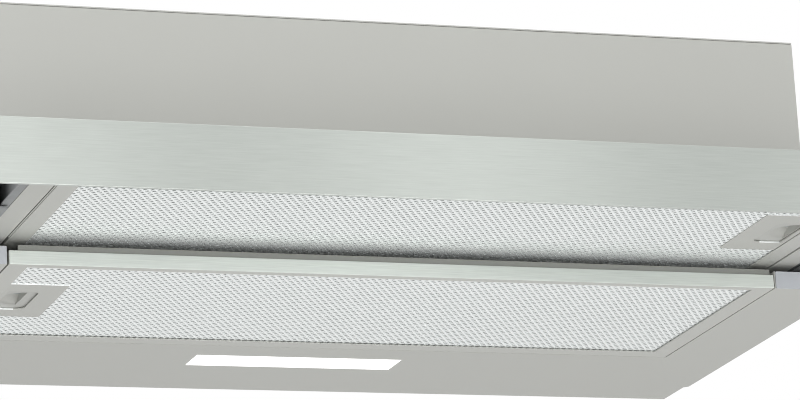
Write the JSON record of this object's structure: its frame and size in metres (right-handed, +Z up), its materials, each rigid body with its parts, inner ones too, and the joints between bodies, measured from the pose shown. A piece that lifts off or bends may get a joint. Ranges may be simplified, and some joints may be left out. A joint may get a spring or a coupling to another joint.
{
  "type": "pull out range hood",
  "caption": "Slim range hood for a wall cabinet: a fixed body with blower and light, and a carriage on telescopic slides with a steel front panel and a second grease filter.",
  "frame": {"origin": "centre of the housing's flat back face, halfway up the shell", "axes": "+X to the user's right along the front panel, +Y to the wall behind the hood, +Z up"},
  "size_m": [0.598, 0.4692, 0.2011],
  "materials": {
    "painted_steel": "satin silver-grey paint",
    "brushed_steel": "stainless steel brushed along X",
    "cassette_frame": "satin, painted silver-grey",
    "aluminium_mesh": "bright expanded metal",
    "zinc_steel": "zinc-plated sheet",
    "cap_plastic": "fine texture",
    "grey_plastic": "moulded",
    "black_plastic": "moulded",
    "white_plastic": "moulded",
    "latch_plastic": "fine texture, matched to the paint",
    "light_diffuser": "milky diffuser",
    "circuit_board": "lacquered laminate",
    "spring_steel": "drawn wire and ground bar"
  },
  "bodies": {
    "hood": {"base_frame": "painted_steel", "housing_shell": "painted_steel", "housing_top": "painted_steel", "collar_ring": "grey_plastic", "outlet_collar": "grey_plastic", "flap_pin": "spring_steel", "scroll_right": "grey_plastic", "scroll_left": "grey_plastic", "motor": "zinc_steel", "motor_bracket": "zinc_steel", "electronics_box": "white_plastic", "electronics_lid": "white_plastic", "terminal_block": "black_plastic", "cable_gland": "black_plastic", "capacitor": "white_plastic", "microswitch": "black_plastic", "light_lens": "light_diffuser", "light_housing": "white_plastic", "light_board": "circuit_board", "end_cap_left": "cap_plastic", "rail_bracket_left": "zinc_steel", "outer_rail_left": "zinc_steel", "end_cap_right": "cap_plastic", "rail_bracket_right": "zinc_steel", "outer_rail_right": "zinc_steel"},
    "carriage": {"carriage_frame": "painted_steel", "carriage_cover": "painted_steel", "front_panel": "brushed_steel", "inner_rail_left": "zinc_steel", "inner_rail_right": "zinc_steel", "panel_bracket_left": "zinc_steel", "panel_bracket_right": "zinc_steel", "control_housing": "black_plastic", "control_board": "circuit_board", "front_filter_frame": "cassette_frame", "front_filter_net": "aluminium_mesh", "front_filter_media": "aluminium_mesh", "front_filter_handle": "painted_steel", "front_latch_spring": "spring_steel"},
    "middle_rail_left": {"middle_rail_left": "zinc_steel"},
    "middle_rail_right": {"middle_rail_right": "zinc_steel"},
    "front_latch": {"front_filter_latch": "latch_plastic"},
    "rear_filter": {"rear_filter_frame": "cassette_frame", "rear_filter_net": "aluminium_mesh", "rear_filter_media": "aluminium_mesh", "rear_filter_handle": "painted_steel", "rear_filter_trim": "brushed_steel", "rear_latch_spring": "spring_steel"},
    "rear_latch": {"rear_filter_latch": "latch_plastic"},
    "impeller": {"impeller": "black_plastic", "motor_shaft": "spring_steel"},
    "rear_flap": {"rear_flap": "white_plastic"},
    "front_flap": {"front_flap": "white_plastic"},
    "plunger": {"microswitch_plunger": "white_plastic"},
    "button_light": {"button_light": "grey_plastic"},
    "button_low": {"button_low": "grey_plastic"},
    "button_medium": {"button_medium": "grey_plastic"},
    "button_high": {"button_high": "grey_plastic"}
  },
  "joints": [
    {"name": "carriage_slide", "type": "slide", "parent": "hood", "child": "carriage", "axis": [0, -1, 0], "range_m": [-0.158, 0]},
    {"name": "middle_left_slide", "type": "slide", "parent": "hood", "child": "middle_rail_left", "axis": [0, -1, 0], "range_m": [-0.079, 0]},
    {"name": "middle_right_slide", "type": "slide", "parent": "hood", "child": "middle_rail_right", "axis": [0, -1, 0], "range_m": [-0.079, 0]},
    {"name": "front_latch_slide", "type": "slide", "parent": "carriage", "child": "front_latch", "axis": [-1, 0, 0], "range_m": [0, 0.005], "stiffness_N_per_m": 500, "springref_m": -0.002, "deforming": ["front_latch_spring"]},
    {"name": "rear_latch_slide", "type": "slide", "parent": "rear_filter", "child": "rear_latch", "axis": [1, 0, 0], "range_m": [0, 0.005], "stiffness_N_per_m": 500, "springref_m": -0.002, "deforming": ["rear_latch_spring"]},
    {"name": "rear_filter_drop", "type": "hinge", "parent": "hood", "child": "rear_filter", "pos_m": [0.2482, -0.209, -0.1019], "axis": [0, -1, 0], "range_deg": [0, 35]},
    {"name": "impeller_spin", "type": "hinge", "parent": "hood", "child": "impeller", "pos_m": [0, -0.16, 0.0011], "axis": [1, 0, 0], "continuous": true},
    {"name": "rear_flap_hinge", "type": "hinge", "parent": "hood", "child": "rear_flap", "pos_m": [0, -0.122, 0.0716], "axis": [1, 0, 0], "range_deg": [0, 75]},
    {"name": "front_flap_hinge", "type": "hinge", "parent": "hood", "child": "front_flap", "pos_m": [0, -0.122, 0.0716], "axis": [-1, 0, 0], "range_deg": [0, 75]},
    {"name": "plunger_press", "type": "slide", "parent": "hood", "child": "plunger", "axis": [0, 1, 0], "range_m": [0, 0.0012], "stiffness_N_per_m": 400, "springref_m": -0.001},
    {"name": "button_light_press", "type": "slide", "parent": "carriage", "child": "button_light", "axis": [0, 0, -1], "range_m": [0, 0.0015], "stiffness_N_per_m": 700, "springref_m": -0.001},
    {"name": "button_low_press", "type": "slide", "parent": "carriage", "child": "button_low", "axis": [0, 0, -1], "range_m": [0, 0.0015], "stiffness_N_per_m": 700, "springref_m": -0.001},
    {"name": "button_medium_press", "type": "slide", "parent": "carriage", "child": "button_medium", "axis": [0, 0, -1], "range_m": [0, 0.0015], "stiffness_N_per_m": 700, "springref_m": -0.001},
    {"name": "button_high_press", "type": "slide", "parent": "carriage", "child": "button_high", "axis": [0, 0, -1], "range_m": [0, 0.0015], "stiffness_N_per_m": 700, "springref_m": -0.001}
  ],
  "couplings": [
    {"joint": "middle_left_slide", "follows": "carriage_slide", "ratio": 0.5},
    {"joint": "middle_right_slide", "follows": "carriage_slide", "ratio": 0.5}
  ]
}
